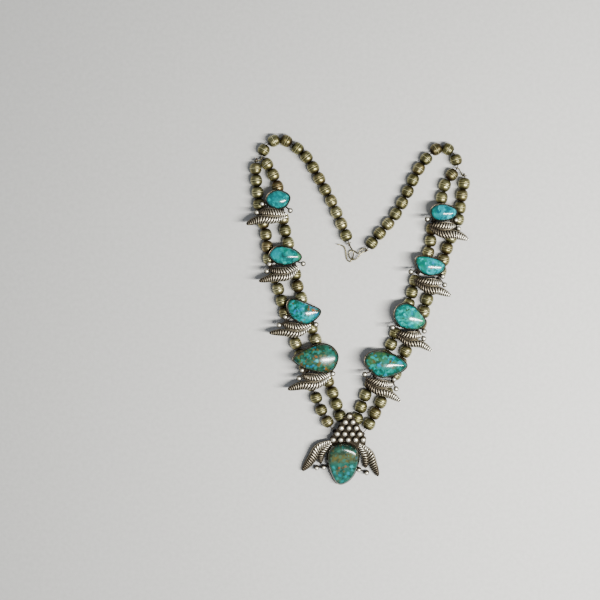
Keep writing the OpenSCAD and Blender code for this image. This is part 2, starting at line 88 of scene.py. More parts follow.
# Half-width along a lobe, from the stem at 0 to the tip at 1, as shares of the widest
POINTED = [(0, 0.2), (0.05, 0.4), (0.12, 0.54), (0.24, 0.76), (0.38, 0.92), (0.52, 0.99),
           (0.66, 1), (0.78, 0.9), (0.88, 0.7), (0.95, 0.48), (0.985, 0.3), (1, 0.12)]
ROUNDED = [(0, 0.2), (0.05, 0.4), (0.12, 0.56), (0.26, 0.78), (0.42, 0.94), (0.6, 1),
           (0.78, 0.95), (0.9, 0.72), (0.97, 0.42), (1, 0.16)]

# Raindrops about the stone's middle
DROPS = [
    [(8.4, -7.6), (-11, -3.2), (-14.8, -9)], [(12.4, -4.6), (-11, -4.9), (-12.8, -9.8)],
    [(8.8, -9.4), (-12.5, -4.2), (-16.7, -9.8)], [(11.5, -10.1), (-9.8, -7.7), (-11.9, -13.3)],
    [(-11.2, -4.6), (8.7, -5.3), (10.5, -11.2)], [(-13.6, -4.2), (8.4, -7.4), (9.8, -13.3)],
    [(-11.9, -8), (10.1, -10.5), (9.8, -15.7)], [(-14.7, -7), (5.6, -10.5), (7, -17.1)]]
PENDANT_AT = Vector((-10, -123, 0))
PENDANT_STONE_AT = (0, 15.9)
PENDANT_DROPS = [(-18.6, 12.6), (-13.7, 12.9), (10.9, 11.2), (16.5, 9)]
CLUSTER_TOP = (4.1, 50.5)
CLUSTER_PITCH = 5.2
CLUSTER_ROW = 4.27

# Where the shanks sit on the strands: on the inner and the outer strand of each station,
# and the four behind the pendant
SHANKS = [
    [(-53, 70.5), (-68, 67)], [(-44.5, 31.5), (-60.5, 29)],
    [(-34, -6.5), (-49, -9)], [(-23, -44), (-34.5, -46.5)],
    [(53.5, 63), (68.5, 56.5)], [(42.6, 26.6), (56, 20.5)],
    [(29, -10), (41.5, -16)], [(12.5, -46), (24, -51.5)]]
PENDANT_SHANKS = [("inner_beads_left", (-10, -81)), ("outer_beads_left", (-15.2, -85.9)),
                  ("inner_beads_right", (-2.4, -83)), ("outer_beads_right", (3, -87.8))]

# Wire of the hook and of the eye, from the ring at the thread's end
HOOK_WIRE = [(-6, 46.6, 3.1), (-5.4, 45, 2.7), (-4.3, 43, 3.4), (-2.9, 40.5, 3.6),
             (-2.8, 38, 2.6), (-3.4, 35.8, 1), (-4.9, 33.7, 0.7), (-7, 35, 0.7),
             (-7.8, 38, 0.8), (-8.2, 41.5, 1), (-9.2, 44, 1.2), (-11.5, 45.2, 1.3),
             (-14, 45.8, 1.6)]
EYE_WIRE = [(6.97, 41.63, 3.26), (5.5, 40.7, 2.4), (3.2, 39.8, 2.5), (1, 37.4, 2.5),
            (-1, 35.4, 2.3), (-3.2, 34.9, 2.2), (-4.7, 35.9, 2.1), (-5.8, 37.8, 2),
            (-5.8, 39.8, 1.9), (-4.6, 41.2, 1.8), (-2.9, 41.3, 1.9), (-1.3, 40.6, 2.1),
            (-0.2, 39.5, 2.3), (0.9, 39.6, 2.5), (1.7, 41.2, 2.6), (3.3, 42.3, 2.6),
            (4.8, 42.8, 2.6), (6.03, 42.37, 3.26)]
HOOK_RING = (-6, 46.5)
EYE_RING = (6.5, 42)
# Rings of the links: x, y and the turn of the ring in degrees
LEFT_LINK = [(-67, 106, 141), (-71, 104, 270)]
RIGHT_LINK = [(69.9, 98.9, 251), (75, 93.6, 92)]
MAIN_BRIDGE = [(-9, -84.3), (-3.4, -86.3)]
OUTER_BRIDGE = [(-12.6, -88.4), (-0.4, -90.2)]


# ---- Camera and light

camera_data = bpy.data.cameras.new("overhead_camera")
camera_data.lens = 70
camera_data.sensor_width = 36
camera_data.clip_start = 0.05
camera_data.clip_end = 20
camera = bpy.data.objects.new("overhead_camera", camera_data)
camera.location = (-0.04095, 0.00725, 0.8213)
bpy.context.scene.collection.objects.link(camera)
bpy.context.scene.camera = camera

# A long narrow light on the right, which shines straight down
light = bpy.data.lights.new("strip_light", "AREA")
light.shape = "RECTANGLE"
light.size = 0.7
light.size_y = 0.06
light.energy = 23.0
light.color = (1.0, 0.98, 0.93)
lamp = bpy.data.objects.new("strip_light", light)
lamp.location = (0.46, -0.15, 0.72)
bpy.context.scene.collection.objects.link(lamp)

world = bpy.data.worlds.new("studio")
world.use_nodes = True
world.node_tree.nodes["Background"].inputs["Color"].default_value = (0.80, 0.85, 0.92, 1)
world.node_tree.nodes["Background"].inputs["Strength"].default_value = 0.34
bpy.context.scene.world = world


# ---- Finishes

def rgb(red, green, blue):
    """A colour for a shader, from its screen values."""
    return tuple(((c / 255 + 0.055) / 1.055) ** 2.4 if c > 10 else c / 3295
                 for c in (red, green, blue)) + (1.0,)


class Finish:
    """A material being built, with its coordinates in millimetres."""

    def __init__(self, name):
        self.material = bpy.data.materials.new(name)
        self.material.use_nodes = True
        self.tree = self.material.node_tree
        self.surface = self.tree.nodes["Principled BSDF"]
        place = self.add("TexCoord").outputs["Object"]
        self.mm = self.add("Mapping", {"Vector": place, "Scale": (1000, 1000, 1000)}).outputs[0]

    def add(self, kind, sockets=None, **settings):
        made = self.tree.nodes.new("ShaderNode" + kind)
        for key, value in settings.items():
            setattr(made, key, value)
        for key, value in (sockets or {}).items():
            self.feed(made.inputs[key], value)
        return made

    def feed(self, socket, value):
        if isinstance(value, bpy.types.NodeSocket):
            self.tree.links.new(value, socket)
        else:
            socket.default_value = value

    def noise(self, scale, detail, rough, vector=None):
        return self.add("TexNoise", {"Vector": vector or self.mm, "Scale": scale,
                                     "Detail": detail, "Roughness": rough}).outputs["Fac"]

    def shifted(self, vector, by, operation="ADD"):
        return self.add("VectorMath", {0: vector, 1: by}, operation=operation).outputs[0]

    def cells(self, vector, size, smooth, channel):
        """A value that is even over each cell, and changes from one cell to the next."""
        made = self.add("TexVoronoi", {"Vector": vector, "Scale": 1 / size,
                                       "Smoothness": smooth}, feature="SMOOTH_F1")
        return self.add("SeparateColor", {"Color": made.outputs["Color"]}).outputs[channel]

    def calc(self, operation, a, b=0.0, clamp=False):
        return self.add("Math", {0: a, 1: b}, operation=operation, use_clamp=clamp).outputs[0]

    def times(self, a, b, clamp=False):
        return self.calc("MULTIPLY", a, b, clamp)

    def spread(self, value, low, high, to_low=0.0, to_high=1.0):
        return self.add("MapRange", {"Value": value, "From Min": low, "From Max": high,
                                     "To Min": to_low, "To Max": to_high},
                        interpolation_type="SMOOTHSTEP").outputs[0]

    def blend(self, amount, a, b, kind="MIX"):
        return self.add("Mix", {0: amount, 6: a, 7: b}, data_type="RGBA",
                        blend_type=kind).outputs[2]

    def ramp(self, value, *stops):
        made = self.add("ValToRGB", {"Fac": value})
        band = made.color_ramp
        while len(band.elements) < len(stops):
            band.elements.new(0.5)
        for element, (place, colour) in zip(band.elements, stops):
            element.position = place
            element.color = colour
        return made.outputs["Color"]

    def attribute(self, name):
        return self.add("Attribute", attribute_name=name).outputs["Fac"]

    def bump(self, height, strength, distance, under=None):
        sockets = {"Height": height, "Strength": strength, "Distance": distance}
        if under:
            sockets["Normal"] = under
        return self.add("Bump", sockets).outputs[0]

    def set(self, **values):
        for name, value in values.items():
            self.feed(self.surface.inputs[name.replace("_", " ")], value)
        return self.material


def bead_silver():
    f = Finish("tarnished_bead_silver")
    wear = f.attribute("wear")
    tone = f.attribute("tone")
    brown = f.attribute("brown")
    mottle = f.noise(1.1, 5, 0.62)
    clouds = f.noise(0.32, 3, 0.5)
    fine = f.noise(6.0, 3, 0.6)
    worn = f.calc("ADD", f.times(wear, 0.72), f.times(mottle, 0.5))
    worn = f.calc("ADD", worn, f.times(f.calc("SUBTRACT", tone, 0.5), 0.35))
    worn = f.calc("SUBTRACT", worn, 0.2, clamp=True)
    colour = f.ramp(worn, (0.0, rgb(22, 19, 11)), (0.28, rgb(75, 71, 42)),
                    (0.6, rgb(146, 143, 102)), (1.0, rgb(212, 209, 170)))
    yellow = f.spread(clouds, 0.42, 0.66)
    colour = f.blend(f.times(yellow, 0.45), colour,
                     f.blend(1.0, colour, rgb(228, 218, 156), "MULTIPLY"))
    red = f.times(brown, f.spread(mottle, 0.35, 0.6), clamp=True)
    colour = f.blend(red, colour, rgb(110, 66, 42))
    rough = f.spread(f.calc("ADD", worn, f.times(fine, 0.3)), 0.1, 1.0, 0.55, 0.27)
    seam = f.spread(wear, 0.8, 1.0)
    rough = f.calc("ADD", rough, f.times(seam, 0.2))
    dents = f.bump(mottle, 0.25, 0.0002)
    return f.set(Base_Color=colour, Metallic=f.spread(seam, 0.0, 1.0, 0.9, 0.75),
                 Roughness=rough, Normal=f.bump(fine, 0.12, 0.00005, dents))


def leaf_silver():
    f = Finish("oxidised_leaf_silver")
    groove = f.attribute("groove")
    mottle = f.noise(1.4, 4, 0.6)
    fine = f.noise(7.0, 3, 0.6)
    # Oxide in the grooves and random tarnish, with painted shade at the leaves' dim ends and low
    # on the raindrops
    tarnish_and_shade = f.calc("ADD", groove, f.times(f.calc("SUBTRACT", mottle, 0.5), 0.55), clamp=True)
    colour = f.ramp(tarnish_and_shade, (0.0, rgb(248, 244, 229)), (0.15, rgb(162, 154, 133)),
                    (0.36, rgb(70, 61, 47)), (0.7, rgb(22, 17, 12)))
    dents = f.bump(mottle, 0.15, 0.00015)
    return f.set(Base_Color=colour, Metallic=0.8,
                 Roughness=f.spread(f.calc("ADD", tarnish_and_shade, f.times(fine, 0.35)), 0.0, 1.2, 0.3, 0.6),
                 Normal=f.bump(fine, 0.1, 0.00004, dents))


def bezel_silver():
    f = Finish("dark_bezel_silver")
    edge = f.attribute("edge")
    mottle = f.noise(1.6, 4, 0.6)
    fine = f.noise(8.0, 3, 0.6)
    worn = f.calc("ADD", f.times(edge, 0.6), f.times(mottle, 0.55), clamp=True)
    colour = f.ramp(worn, (0.15, rgb(15, 12, 9)), (0.55, rgb(38, 32, 25)),
                    (1.0, rgb(80, 73, 60)))
    return f.set(Base_Color=colour, Metallic=0.85,
                 Roughness=f.spread(worn, 0.1, 0.9, 0.55, 0.3),
                 Normal=f.bump(fine, 0.15, 0.00005, f.bump(mottle, 0.2, 0.0002)))


def wire_silver():
    f = Finish("drawn_wire_silver")
    mottle = f.noise(0.8, 4, 0.6)
    fine = f.noise(9.0, 2, 0.6)
    colour = f.ramp(mottle, (0.25, rgb(62, 57, 40)), (0.5, rgb(128, 122, 96)),
                    (0.75, rgb(182, 176, 148)))
    return f.set(Base_Color=colour, Metallic=1.0,
                 Roughness=f.spread(mottle, 0.3, 0.7, 0.42, 0.24),
                 Normal=f.bump(fine, 0.08, 0.00004))


def waxed_thread():
    f = Finish("waxed_thread")
    fibre = f.noise(12.0, 4, 0.7)
    grime_and_rim_shade = f.noise(0.5, 3, 0.5)
    colour = f.ramp(fibre, (0.3, rgb(30, 24, 16)), (0.6, rgb(66, 54, 38)), (0.8, rgb(98, 84, 60)))
    colour = f.blend(f.spread(grime_and_rim_shade, 0.4, 0.7), colour, rgb(44, 36, 26))
    return f.set(Base_Color=colour, Roughness=0.75, Normal=f.bump(fibre, 0.5, 0.00008))


# How far the stones' patterns are bent, in mm, and how much the stones are darkened
STONE_WOBBLE = 2.4
STONE_DEPTH = 0.79


def turquoise(name, middle, ground, patches, cells=1.5, flecks=(), veins=None, fades=(),
              marks=(), banded=0.0, soft=0.0, gloss=1.0, rich=1.36):
    """Polished turquoise. ground is its dark, middle and bright colour; the dark and middle
    ones cloud into each other in patches, and cells of the dark and bright ones lie on them;
    sizes are in mm. Each fade lays a colour over one side: (colour, direction x, y, from mm,
    to mm, strength). Each fleck is (colour, size, share of cells, strength). veins are
    (colour, size, half-width, how much of the stone they cross). Each mark is one spot:
    (x, y, radius, colour, strength), from the stone's middle. banded draws the cells out
    upright, soft blurs the patches, gloss is the polish and rich the depth of colour."""
    f = Finish(name)
    middle = Vector((*middle, 0)) - OUTLINE_MIDDLE
    about = f.add("Mapping", {"Vector": f.mm, "Location": (-middle.x, -middle.y, 0)}).outputs[0]
    wobble = f.add("TexNoise", {"Vector": f.mm, "Scale": 0.6, "Detail": 2.5}).outputs["Color"]
    shift = f.shifted(wobble, (0.5, 0.5, 0.5), "SUBTRACT")
    shift = f.add("VectorMath", {0: shift, 3: STONE_WOBBLE}, operation="SCALE").outputs[0]
    bent = f.shifted(about, shift)
    dark, mid, bright = ground
    edge = 0.06 + 0.05 * soft
    clouds = f.spread(f.noise(1 / patches, 4, 0.6, bent), 0.5 - edge, 0.5 + edge)
    colour = f.blend(clouds, dark, mid)
    for over, x, y, start, end, strength in fades:
        along = f.add("VectorMath", {0: bent, 1: (x, y, 0)},
                      operation="DOT_PRODUCT").outputs["Value"]
        colour = f.blend(f.times(f.spread(along, start, end), strength), colour, over)
    long_way = f.add("Mapping", {"Vector": bent, "Scale": (1, 1 - 0.75 * banded, 1)}).outputs[0]
    pick = f.cells(long_way, cells, 0.5 + 0.4 * soft, "Red")
    strong = 0.85 - 0.15 * soft
    colour = f.blend(f.spread(pick, 0.62, 0.9, 0.0, strong), colour, bright)
    colour = f.blend(f.spread(pick, 0.4, 0.12, 0.0, strong), colour,
                     f.blend(0.4, dark, f.blend(1.0, colour, rgb(116, 138, 128), "MULTIPLY")))
    for number, (over, size, share, strength) in enumerate(flecks):
        moved = f.shifted(bent, (7.3 * number + 5, 3.1 * number + 9, 0))
        pick = f.cells(moved, size, 0.5, "Green")
        amount = f.spread(pick, 0.96 - share, 1.08 - share, 0.0, strength)
        colour = f.blend(amount, colour, over)
    if veins:
        over, size, half, cover = veins
        crack = f.add("TexVoronoi", {"Vector": bent, "Scale": 1 / size},
                      feature="DISTANCE_TO_EDGE").outputs["Distance"]
        crossed = f.spread(f.noise(0.35, 2, 0.5, bent), 1 - cover, 1.1 - cover)
        amount = f.times(f.spread(crack, half, half * 0.3), crossed)
        colour = f.blend(amount, colour, over)
    for x, y, radius, over, strength in marks:
        gap = f.shifted(bent, (x, y, 0), "SUBTRACT")
        flat = f.shifted(gap, (1, 1, 0), "MULTIPLY")
        away = f.add("VectorMath", {0: flat}, operation="LENGTH").outputs["Value"]
        amount = f.times(f.spread(away, radius * 1.5, radius * 0.3), strength)
        colour = f.blend(amount, colour, over)
    pores = f.noise(5.0, 4, 0.7)
    colour = f.blend(f.spread(pores, 0.62, 0.75, 0.0, 0.45), colour, rgb(16, 44, 42))
    # Painted reflection: the steep sides by the rim are darkened, as if they mirrored dark
    # surroundings
    grime_and_rim_shade = f.spread(f.attribute("rim"), 0.8, 0.97, 0.0, 0.8)
    colour = f.blend(grime_and_rim_shade, colour, f.blend(1.0, colour, rgb(120, 124, 112), "MULTIPLY"))
    colour = f.add("HueSaturation", {"Color": colour, "Saturation": rich,
                                     "Value": STONE_DEPTH}).outputs[0]
    dull = 0.25 * (1 - gloss)
    return f.set(Base_Color=colour, Roughness=f.spread(pores, 0.4, 0.8, 0.12 + dull, 0.24 + dull),
                 IOR=1.52, Coat_Weight=0.35 * gloss, Coat_Roughness=0.06,
                 Normal=f.bump(f.noise(0.7, 3, 0.5), 0.05, 0.0003))


# Colours that several stones share
CYAN = rgb(48, 150, 152)
BRIGHT_CYAN = rgb(84, 204, 208)
SKY = rgb(56, 140, 190)
DARK_GREEN = rgb(36, 78, 50)
SEA_GREEN = rgb(48, 122, 92)
LEAF_GREEN = rgb(84, 112, 52)
PALE_GREEN = rgb(128, 178, 140)
BROWN = rgb(92, 64, 30)
ORANGE = rgb(156, 84, 38)
PITCH = rgb(12, 9, 8)

STONE_FINISHES = [
    dict(ground=(rgb(26, 108, 112), rgb(46, 146, 148), rgb(84, 186, 186)), patches=3.0, cells=1.5,
         soft=0.7, fades=[(SEA_GREEN, 0.6, -0.4, 1, 6, 0.25)],
         flecks=[(rgb(34, 98, 124), 1.6, 0.12, 0.4)],
         marks=[(-1.5, 1.2, 1.8, rgb(70, 116, 126), 0.6)]),
    dict(ground=(rgb(20, 88, 88), rgb(42, 142, 138), rgb(84, 186, 180)), patches=3.4, cells=2.0,
         soft=0.5, fades=[(PALE_GREEN, 1, 0.1, 6.5, 10.5, 0.75)],
         flecks=[(rgb(62, 178, 186), 2.4, 0.16, 0.5)],
         marks=[(-7.0, 2.6, 3.6, rgb(52, 162, 174), 0.7), (-1.4, 1.0, 2.4, rgb(10, 56, 56), 0.75),
                (3.6, 1.6, 2.2, rgb(56, 156, 152), 0.5), (0.4, 4.6, 1.8, SEA_GREEN, 0.4),
                (-3.4, -2.6, 1.6, rgb(14, 70, 72), 0.6)],
         veins=(DARK_GREEN, 4.0, 0.09, 0.3)),
    dict(ground=(rgb(28, 82, 70), rgb(42, 126, 124), rgb(66, 172, 184)), patches=2.8, cells=1.7,
         soft=0.2, fades=[(SEA_GREEN, -0.6, 0.8, 4, 9, 0.6), (CYAN, 0.2, -1, 2, 6, 0.6)],
         flecks=[(BROWN, 1.6, 0.14, 0.7), (SKY, 1.8, 0.16, 0.75), (ORANGE, 1.5, 0.06, 0.6),
                 (BRIGHT_CYAN, 1.7, 0.1, 0.6)],
         marks=[(7.4, 0.4, 1.7, ORANGE, 0.75), (-1.5, 1.5, 1.1, SKY, 0.8)]),
    dict(ground=(rgb(28, 62, 46), rgb(52, 92, 72), rgb(58, 132, 124)), patches=2.6, cells=1.9,
         soft=0.2, gloss=0.75, rich=1.16, fades=[(rgb(44, 118, 108), 1, 0.3, 6, 13, 0.6)],
         flecks=[(rgb(98, 82, 42), 2.0, 0.28, 0.75), (LEAF_GREEN, 2.2, 0.14, 0.6),
                 (SKY, 1.8, 0.1, 0.7), (ORANGE, 1.7, 0.08, 0.6), (CYAN, 1.8, 0.1, 0.6)],
         marks=[(0.4, -0.8, 1.1, BRIGHT_CYAN, 0.9)]),
    dict(ground=(rgb(18, 100, 112), rgb(40, 152, 164), rgb(80, 204, 214)), patches=2.6,
         cells=1.6, banded=0.8, soft=0.2, fades=[(rgb(40, 128, 112), -1, 0.1, 2.5, 7, 0.6)],
         flecks=[(rgb(22, 84, 112), 1.6, 0.14, 0.6)]),
    dict(ground=(rgb(30, 118, 116), rgb(52, 164, 176), rgb(98, 214, 228)), patches=3.0,
         cells=1.8, banded=0.3, soft=0.3, fades=[(rgb(54, 124, 98), -1, 0.3, 1.5, 7, 0.85)],
         flecks=[(rgb(40, 136, 186), 1.8, 0.12, 0.7), (SEA_GREEN, 1.8, 0.12, 0.6)],
         marks=[(0.4, -1.8, 0.8, ORANGE, 0.85)]),
    dict(ground=(rgb(30, 112, 106), rgb(62, 156, 146), rgb(108, 204, 204)), patches=2.8,
         cells=1.8, soft=0.2, fades=[(rgb(104, 154, 124), 1, -0.1, 2, 7, 0.7)],
         flecks=[(rgb(44, 132, 160), 1.8, 0.14, 0.7)],
         veins=(rgb(58, 76, 50), 3.2, 0.12, 0.45)),
    dict(ground=(rgb(28, 82, 70), rgb(44, 122, 114), rgb(68, 164, 160)), patches=2.8, cells=1.9,
         soft=0.2, rich=1.22, fades=[(rgb(70, 98, 60), -0.45, 0.9, 0.5, 5, 0.75)],
         flecks=[(SKY, 1.7, 0.1, 0.75), (BROWN, 1.7, 0.12, 0.65), (LEAF_GREEN, 2.2, 0.1, 0.5)],
         marks=[(1.1, 6.0, 1.1, PITCH, 1.0), (2.8, 2.4, 0.9, BROWN, 0.9),
                (-5.2, -0.6, 1.1, SKY, 0.9), (9.4, 1.4, 0.9, SKY, 0.9),
                (4.8, 4.5, 1.0, SKY, 0.9), (-8.5, 2.0, 1.3, BROWN, 0.6)])]
PENDANT_FINISH = dict(
    ground=(rgb(26, 56, 46), rgb(46, 78, 62), rgb(54, 104, 92)), patches=2.6, cells=1.7,
    soft=0.3, gloss=0.8, rich=1.12,
    fades=[(rgb(90, 88, 48), 0.1, -1, -9.4, -5.2, 0.66),
           (rgb(32, 88, 80), 0.05, -1, -3.8, 0.8, 0.9)],
    flecks=[(rgb(40, 98, 118), 1.7, 0.08, 0.5), (rgb(96, 84, 40), 1.8, 0.12, 0.5),
            (rgb(44, 128, 128), 1.6, 0.08, 0.5)],
    veins=(rgb(100, 80, 36), 3.4, 0.13, 0.3),
    marks=[(-2.9, -2.7, 0.9, ORANGE, 0.55), (-0.4, -2.6, 0.8, BROWN, 0.6),
           (1.4, -1.9, 0.9, ORANGE, 0.5), (3.2, -2.2, 0.7, BROWN, 0.5),
           (-3.1, -4.8, 0.9, BROWN, 0.6), (-7.0, -2.4, 1.1, rgb(60, 160, 164), 0.5),
           (-6.4, -5.8, 1.0, CYAN, 0.6), (5.8, -1.8, 1.2, rgb(66, 180, 184), 0.7),
           (5.9, -4.4, 0.9, CYAN, 0.6), (3.4, -6.6, 1.1, rgb(52, 146, 172), 0.6),
           (1.4, -9.2, 1.0, CYAN, 0.6), (-2.7, -8.0, 1.2, rgb(40, 122, 146), 0.6),
           (-4.4, -10.8, 1.0, rgb(56, 156, 146), 0.6), (-0.6, -12.4, 1.0, CYAN, 0.5)])


# ---- Shared making steps

def spline(points, steps, closed=False):
    """A smooth line through points, with that many steps from each to the next."""
    p = [Vector(q) for q in points]
    n = len(p)
    pick = (lambda i: p[i % n]) if closed else (lambda i: p[min(max(i, 0), n - 1)])
    line = []
    for i in range(n if closed else n - 1):
        a, b, c, d = pick(i - 1), pick(i), pick(i + 1), pick(i + 2)
        for k in range(steps):
            t = k / steps
            line.append(0.5 * (2 * b + (c - a) * t + (2 * a - 5 * b + 4 * c - d) * t * t
                               + (3 * b - a - 3 * c + d) * t ** 3))
    return line if closed else line + [p[-1].copy()]


def lookup(table, t):
    for (a, low), (b, high) in zip(table, table[1:]):
        if t <= b:
            return low + (high - low) * (t - a) / (b - a)
    return table[-1][1]


def grown(outline, d):
    """A closed anticlockwise outline moved outwards."""
    n = len(outline)
    moved = []
    for i, p in enumerate(outline):
        before = (p - outline[i - 1]).normalized()
        after = (outline[(i + 1) % n] - p).normalized()
        mean = (before + after).normalized()
        moved.append(p + Vector((mean.y, -mean.x)) * (d / max(mean.dot(after), 0.5)))
    return moved


def mesh_with(layer):
    """An empty mesh, and a value for each of its points, which the shaders read."""
    bm = bmesh.new()
    return bm, bm.verts.layers.float.new(layer)


def add_loop(bm, points):
    verts = [bm.verts.new(p) for p in points]
    edges = [bm.edges.new((verts[i - 1], v)) for i, v in enumerate(verts)]
    return verts, edges


def marked(verts, layer, value):
    for v in verts:
        v[layer] = value


def bridged(bm, loops):
    """Skins a row of closed loops of equally many points."""
    made = [add_loop(bm, points) for points in loops]
    for (_, a), (_, b) in zip(made, made[1:]):
        bmesh.ops.bridge_loops(bm, edges=a + b)
    return made


def capped(bm, loop):
    """Closes a loop with a fan round its middle."""
    face = bm.faces.new(loop)
    bmesh.ops.poke(bm, faces=[face])


def as_object(name, bm, material, slot, *replaced, matrix=None, crease=42):
    """Turns a finished bmesh into a piece that rides on the necklace."""
    bmesh.ops.recalc_face_normals(bm, faces=bm.faces)
    if matrix:
        bm.transform(matrix)
    bm.transform(TO_FRAME)
    mesh = bpy.data.meshes.new(name)
    bm.to_mesh(mesh)
    bm.free()
    mesh.polygons.foreach_set("use_smooth", [True] * len(mesh.polygons))
    mesh.set_sharp_from_angle(angle=math.radians(crease))
    piece = bpy.data.objects.new(name, mesh)
    bpy.context.scene.collection.objects.link(piece)
    mesh.materials.append(material)
    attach(piece, "root")
    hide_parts(*replaced)


def add_wire(bm, points, radii, sides=12, closed=False):
    """A round wire along points, with a radius at each."""
    curve = bpy.data.curves.new("wire", "CURVE")
    curve.dimensions = "3D"
    curve.bevel_depth = 1.0
    curve.bevel_resolution = sides // 2 - 2
    curve.use_fill_caps = not closed
    line = curve.splines.new("POLY")
    line.points.add(len(points) - 1)
    line.use_cyclic_u = closed
    for spot, p, r in zip(line.points, points, radii):
        spot.co = (*p, 1)
        spot.radius = r
    holder = bpy.data.objects.new("wire", curve)
    mesh = bpy.data.meshes.new_from_object(holder)
    bm.from_mesh(mesh)
    bpy.data.objects.remove(holder)
    bpy.data.curves.remove(curve)
    bpy.data.meshes.remove(mesh)


# ---- Beads

HALF_LENGTH = 3.9
SEAM_R = 4.3
HOLE_R = 0.9
SPIN_STEPS = 36
# A scored line: half its width with its lips, its depth, and where the lines are
LINE_W = 0.2
LINE_DEPTH = 0.09
LINES = (1.45, 2.05)
# A bead may be longer where its neighbour is farther off, but not beside a station
BEAD_GAP = 0.05
MOST_SPARE = 0.4
OPEN_PITCH = 9.2
# Radius of a dome at heights over the seam's plane
DOME = [(0.4, 4.12), (1.0, 4.09), (1.4, 4.02), (1.8, 3.9), (2.2, 3.73), (2.6, 3.5), (3.0, 3.19),
        (3.35, 2.84), (3.6, 2.48), (3.78, 2.1)]


def bead_profile(lines):
    """Radius, height and wear down one half of a bead, from its hole to its seam."""
    half = [(HOLE_R, 3.84, 0.1), (1.05, HALF_LENGTH, 0.4), (1.4, 3.88, 0.3)]
    half += [(r, z, max(0.0, min(0.78, 0.38 * (3.9 - z) - 0.05))) for z, r in DOME[1:]]
    half += [(4.06, 0.78, 0.45), (3.98, 0.66, 0.2), (3.96, 0.46, 0.12), (4.12, 0.36, 0.8),
             (4.25, 0.28, 0.95), (SEAM_R, 0.14, 1.0)]
    for z in lines:
        half = [p for p in half if abs(p[1] - z) > LINE_W]
        for s in (1, -1):
            half.append((lookup(DOME, z + s * LINE_W), z + s * LINE_W, 0.7))
            half.append((lookup(DOME, z) - LINE_DEPTH, z + s * 0.06, 0.1))
    return sorted(half, key=lambda p: -p[1])


def bead_blank(lines):
    """A whole bead along Z as a mesh, and the wear at each of its points."""
    half = bead_profile(lines)
    profile = half + [(r, -z, w) for r, z, w in reversed(half)]
    bm = bmesh.new()
    verts, edges = add_loop(bm, [(r, 0, z) for r, z, w in profile])
    bmesh.ops.spin(bm, geom=verts + edges, cent=(0, 0, 0), axis=(0, 0, 1),
                   angle=2 * math.pi, steps=SPIN_STEPS, use_merge=True)
    bmesh.ops.remove_doubles(bm, verts=bm.verts, dist=1e-4)
    bmesh.ops.recalc_face_normals(bm, faces=bm.faces)
    bm.verts.index_update()
    table = np.array(profile)
    wear = []
    for v in bm.verts:
        away = abs(table[:, 0] - math.hypot(v.co.x, v.co.y)) + abs(table[:, 1] - v.co.z)
        wear.append(float(table[away.argmin(), 2]))
    mesh = bpy.data.meshes.new("bead_blank")
    bm.to_mesh(mesh)
    bm.free()
    return mesh, wear


def bead_places(node):
    """Middle and axis of each bead of a CAD string, in millimetres."""
    bm = bmesh.new()
    bm.from_mesh(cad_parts[node].data)
    bmesh.ops.remove_doubles(bm, verts=bm.verts, dist=1e-6)
    bm.transform(TO_TABLES)
    turns = np.radians(np.arange(0, 180, 0.5))
    ways = np.stack([np.cos(turns), np.sin(turns)])
    places = []
    left = set(bm.verts)
    while left:
        reach = [left.pop()]
        part = []
        while reach:
            v = reach.pop()
            part.append(v.co.xy[:])
            for e in v.link_edges:
                other = e.other_vert(v)
                if other in left:
                    left.discard(other)
                    reach.append(other)
        spots = np.array(part)
        middle = (spots.min(0) + spots.max(0)) / 2
        spans = np.ptp(spots @ ways, axis=0)
        turn = turns[spans.argmin()]
        places.append((Vector((*middle, STRAND_Z)), Vector((math.cos(turn), math.sin(turn), 0))))
    bm.free()
    return places


def in_order(places, start):
    """The beads from one end of their string to the other, each axis pointing onwards."""
    here = Vector((*start, STRAND_Z))
    left = list(places)
    row = []
    while left:
        middle, axis = min(left, key=lambda p: (p[0] - here).length)
        left.remove((middle, axis))
        row.append((middle, axis if axis.dot(middle - here) > 0 else -axis))
        here = middle
    return row


# The link that each string starts at
STARTS = {"neck_beads_left": LEFT_LINK[0], "neck_beads_right": RIGHT_LINK[0],
          "inner_beads_left": LEFT_LINK[0], "inner_beads_right": RIGHT_LINK[0],
          "outer_beads_left": LEFT_LINK[1], "outer_beads_right": RIGHT_LINK[1]}
STRINGS = {name: in_order(bead_places(name), start[:2]) for name, start in STARTS.items()}
# Beads with lines scored beside the seam, and browner beads, by their place in the string
SCORED = {"neck_beads_right": range(0, 9), "outer_beads_left": (0,), "neck_beads_left": (0, 1, 8),
          "outer_beads_right": (2, 9, 15), "inner_beads_left": (7, 14)}
BROWN_BEADS = {"inner_beads_left": (2,), "outer_beads_left": (6,), "outer_beads_right": (11,)}
PLAIN_BLANK = bead_blank(())
SCORED_BLANK = bead_blank(LINES)


def dented(co, dents):
    """A point pressed in by each dent that reaches it: (middle, reach, depth)."""
    for way, reach, depth in dents:
        near = 1 - (co - way).length / reach
        if near > 0:
            co = co - way.normalized() * depth * near * near * (3 - 2 * near)
    return co


def spare_length(row, number, step):
    """How much longer one end of a bead may be, up to its neighbour's."""
    other = number + step
    if not 0 <= other < len(row):
        return 0.0
    pitch = (row[other][0] - row[number][0]).length
    if pitch >= OPEN_PITCH:
        return 0.0
    return min(max(pitch / 2 - HALF_LENGTH - BEAD_GAP, 0.0), MOST_SPARE)


